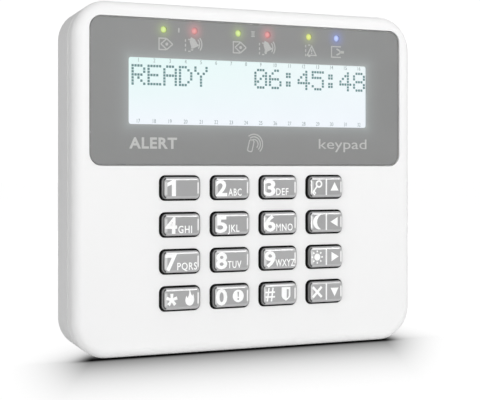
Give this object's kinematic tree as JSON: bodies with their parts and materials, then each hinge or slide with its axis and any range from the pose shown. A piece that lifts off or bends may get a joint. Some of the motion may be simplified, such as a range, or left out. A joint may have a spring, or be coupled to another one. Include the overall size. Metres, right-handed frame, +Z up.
{
  "type": "alarm keypad",
  "caption": "Wall-mounted alarm keypad with a text display, status lamps, sliding keys and a front cover that hinges open from its rear base.",
  "frame": {"origin": "centre of the back face, on the wall plane", "axes": "+X to the viewer's right, +Y into the wall, +Z up; the keys face -Y"},
  "size_m": [0.139, 0.0238, 0.124],
  "materials": {
    "case_white": "satin moulded ABS",
    "window_grey": "glossy, printed from behind, clear over the display",
    "key_grey": "glossy translucent grey with white legends",
    "mat_rubber": "matt silicone",
    "board_green": "solder mask",
    "lcd_glass": "clear, polarised",
    "light_guide": "lit cool white",
    "black_plastic": "moulded",
    "terminal_green": "moulded",
    "screw_steel": "zinc plated",
    "coil_copper": "enamelled copper wire",
    "strip_rubber": "layered conductive rubber",
    "lamp_green": "tinted clear epoxy",
    "lamp_red": "tinted clear epoxy",
    "lamp_yellow": "tinted clear epoxy",
    "lamp_blue": "tinted clear epoxy"
  },
  "bodies": {
    "base": {"rear_base": "case_white"},
    "cover": {"front_cover": "case_white", "display_window": "window_grey", "lcd_frame": "black_plastic", "lcd_glass": "lcd_glass", "lcd_light_guide": "light_guide", "lcd_upper_contact_strip": "strip_rubber", "lcd_lower_contact_strip": "strip_rubber", "lamp_area_1_green": "lamp_green", "lamp_area_1_red": "lamp_red", "lamp_area_2_green": "lamp_green", "lamp_area_2_red": "lamp_red", "lamp_trouble_yellow": "lamp_yellow", "lamp_service_blue": "lamp_blue", "lamp_light_shield": "black_plastic", "key_mat": "mat_rubber", "main_circuit_board": "board_green", "board_screw_1": "screw_steel", "board_screw_2": "screw_steel", "board_screw_3": "screw_steel", "board_screw_4": "screw_steel", "terminal_block": "terminal_green", "terminal_screw_1": "screw_steel", "terminal_screw_2": "screw_steel", "terminal_screw_3": "screw_steel", "terminal_screw_4": "screw_steel", "tamper_switch": "black_plastic", "buzzer": "black_plastic", "reader_coil": "coil_copper", "microcontroller": "black_plastic", "quartz_crystal": "screw_steel", "voltage_regulator": "black_plastic", "bus_driver_chip": "black_plastic", "electrolytic_capacitor": "screw_steel", "service_pin_header": "black_plastic"},
    "key_1_button": {"key_1": "key_grey"},
    "key_2_button": {"key_2": "key_grey"},
    "key_3_button": {"key_3": "key_grey"},
    "key_up_button": {"key_up": "key_grey"},
    "key_4_button": {"key_4": "key_grey"},
    "key_5_button": {"key_5": "key_grey"},
    "key_6_button": {"key_6": "key_grey"},
    "key_left_button": {"key_left": "key_grey"},
    "key_7_button": {"key_7": "key_grey"},
    "key_8_button": {"key_8": "key_grey"},
    "key_9_button": {"key_9": "key_grey"},
    "key_right_button": {"key_right": "key_grey"},
    "key_star_button": {"key_star": "key_grey"},
    "key_0_button": {"key_0": "key_grey"},
    "key_hash_button": {"key_hash": "key_grey"},
    "key_down_button": {"key_down": "key_grey"},
    "tamper_contact": {"tamper_plunger": "screw_steel"}
  },
  "joints": [
    {"name": "cover_hinge", "type": "hinge", "parent": "base", "child": "cover", "pos_m": [0, -0.01405, 0.0615], "axis": [-1, 0, 0], "range_deg": [0, 60]},
    {"name": "key_1_press", "type": "slide", "parent": "cover", "child": "key_1_button", "axis": [0, 1, 0], "range_m": [0, 0.0012]},
    {"name": "key_2_press", "type": "slide", "parent": "cover", "child": "key_2_button", "axis": [0, 1, 0], "range_m": [0, 0.0012]},
    {"name": "key_3_press", "type": "slide", "parent": "cover", "child": "key_3_button", "axis": [0, 1, 0], "range_m": [0, 0.0012]},
    {"name": "key_up_press", "type": "slide", "parent": "cover", "child": "key_up_button", "axis": [0, 1, 0], "range_m": [0, 0.0012]},
    {"name": "key_4_press", "type": "slide", "parent": "cover", "child": "key_4_button", "axis": [0, 1, 0], "range_m": [0, 0.0012]},
    {"name": "key_5_press", "type": "slide", "parent": "cover", "child": "key_5_button", "axis": [0, 1, 0], "range_m": [0, 0.0012]},
    {"name": "key_6_press", "type": "slide", "parent": "cover", "child": "key_6_button", "axis": [0, 1, 0], "range_m": [0, 0.0012]},
    {"name": "key_left_press", "type": "slide", "parent": "cover", "child": "key_left_button", "axis": [0, 1, 0], "range_m": [0, 0.0012]},
    {"name": "key_7_press", "type": "slide", "parent": "cover", "child": "key_7_button", "axis": [0, 1, 0], "range_m": [0, 0.0012]},
    {"name": "key_8_press", "type": "slide", "parent": "cover", "child": "key_8_button", "axis": [0, 1, 0], "range_m": [0, 0.0012]},
    {"name": "key_9_press", "type": "slide", "parent": "cover", "child": "key_9_button", "axis": [0, 1, 0], "range_m": [0, 0.0012]},
    {"name": "key_right_press", "type": "slide", "parent": "cover", "child": "key_right_button", "axis": [0, 1, 0], "range_m": [0, 0.0012]},
    {"name": "key_star_press", "type": "slide", "parent": "cover", "child": "key_star_button", "axis": [0, 1, 0], "range_m": [0, 0.0012]},
    {"name": "key_0_press", "type": "slide", "parent": "cover", "child": "key_0_button", "axis": [0, 1, 0], "range_m": [0, 0.0012]},
    {"name": "key_hash_press", "type": "slide", "parent": "cover", "child": "key_hash_button", "axis": [0, 1, 0], "range_m": [0, 0.0012]},
    {"name": "key_down_press", "type": "slide", "parent": "cover", "child": "key_down_button", "axis": [0, 1, 0], "range_m": [0, 0.0012]},
    {"name": "tamper_release", "type": "slide", "parent": "cover", "child": "tamper_contact", "axis": [0, 1, 0], "range_m": [0, 0.0015]}
  ],
  "couplings": [
    {"joint": "tamper_release", "follows": "cover_hinge", "m_per_rad": 0.00143}
  ]
}
